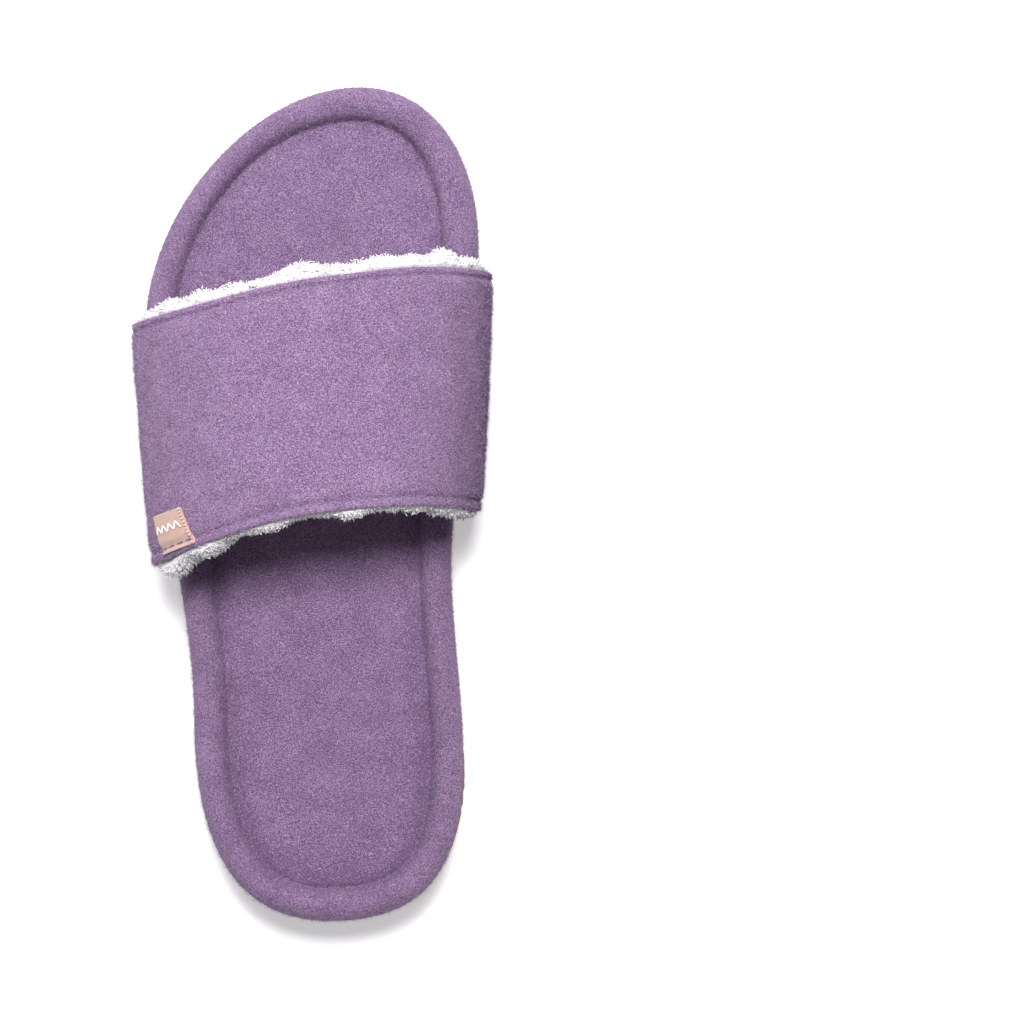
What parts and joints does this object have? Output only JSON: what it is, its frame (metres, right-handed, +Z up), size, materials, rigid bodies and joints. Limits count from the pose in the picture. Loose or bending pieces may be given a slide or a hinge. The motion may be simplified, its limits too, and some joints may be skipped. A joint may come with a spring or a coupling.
{
  "type": "open-toed house slipper",
  "caption": "Left-foot slide house slipper: cushioned felt footbed with a soft raised rim, wide fleece-lined felt band over the foot, rubber outsole.",
  "frame": {"origin": "under the middle of the bounding box, on the surface that the slipper stands on", "axes": "+Y from heel to toe, +X to the big-toe side of a left foot, +Z up"},
  "size_m": [0.1136, 0.2614, 0.0794],
  "materials": {
    "felt": "heathered wool felt with a short nap",
    "fleece": "curly sherpa pile",
    "thread": "matt sewing thread",
    "label": "woven ribbon",
    "outsole_rubber": "matt, moulded tread",
    "foam": "fine closed cells",
    "fibre_board": "pressed fibres"
  },
  "bodies": {
    "root": {"outsole": "outsole_rubber", "bottom_filler": "foam", "midsole": "foam", "insole_board": "fibre_board", "rim_roll": "foam", "footbed_pad": "foam", "footbed_cover": "felt", "sole_wrap": "felt", "rim_seam_thread": "thread", "upper_shell": "felt", "upper_interlining": "foam", "upper_lining": "fleece", "front_topstitch": "thread", "rear_topstitch": "thread", "side_label": "label"}
  },
  "joints": []
}
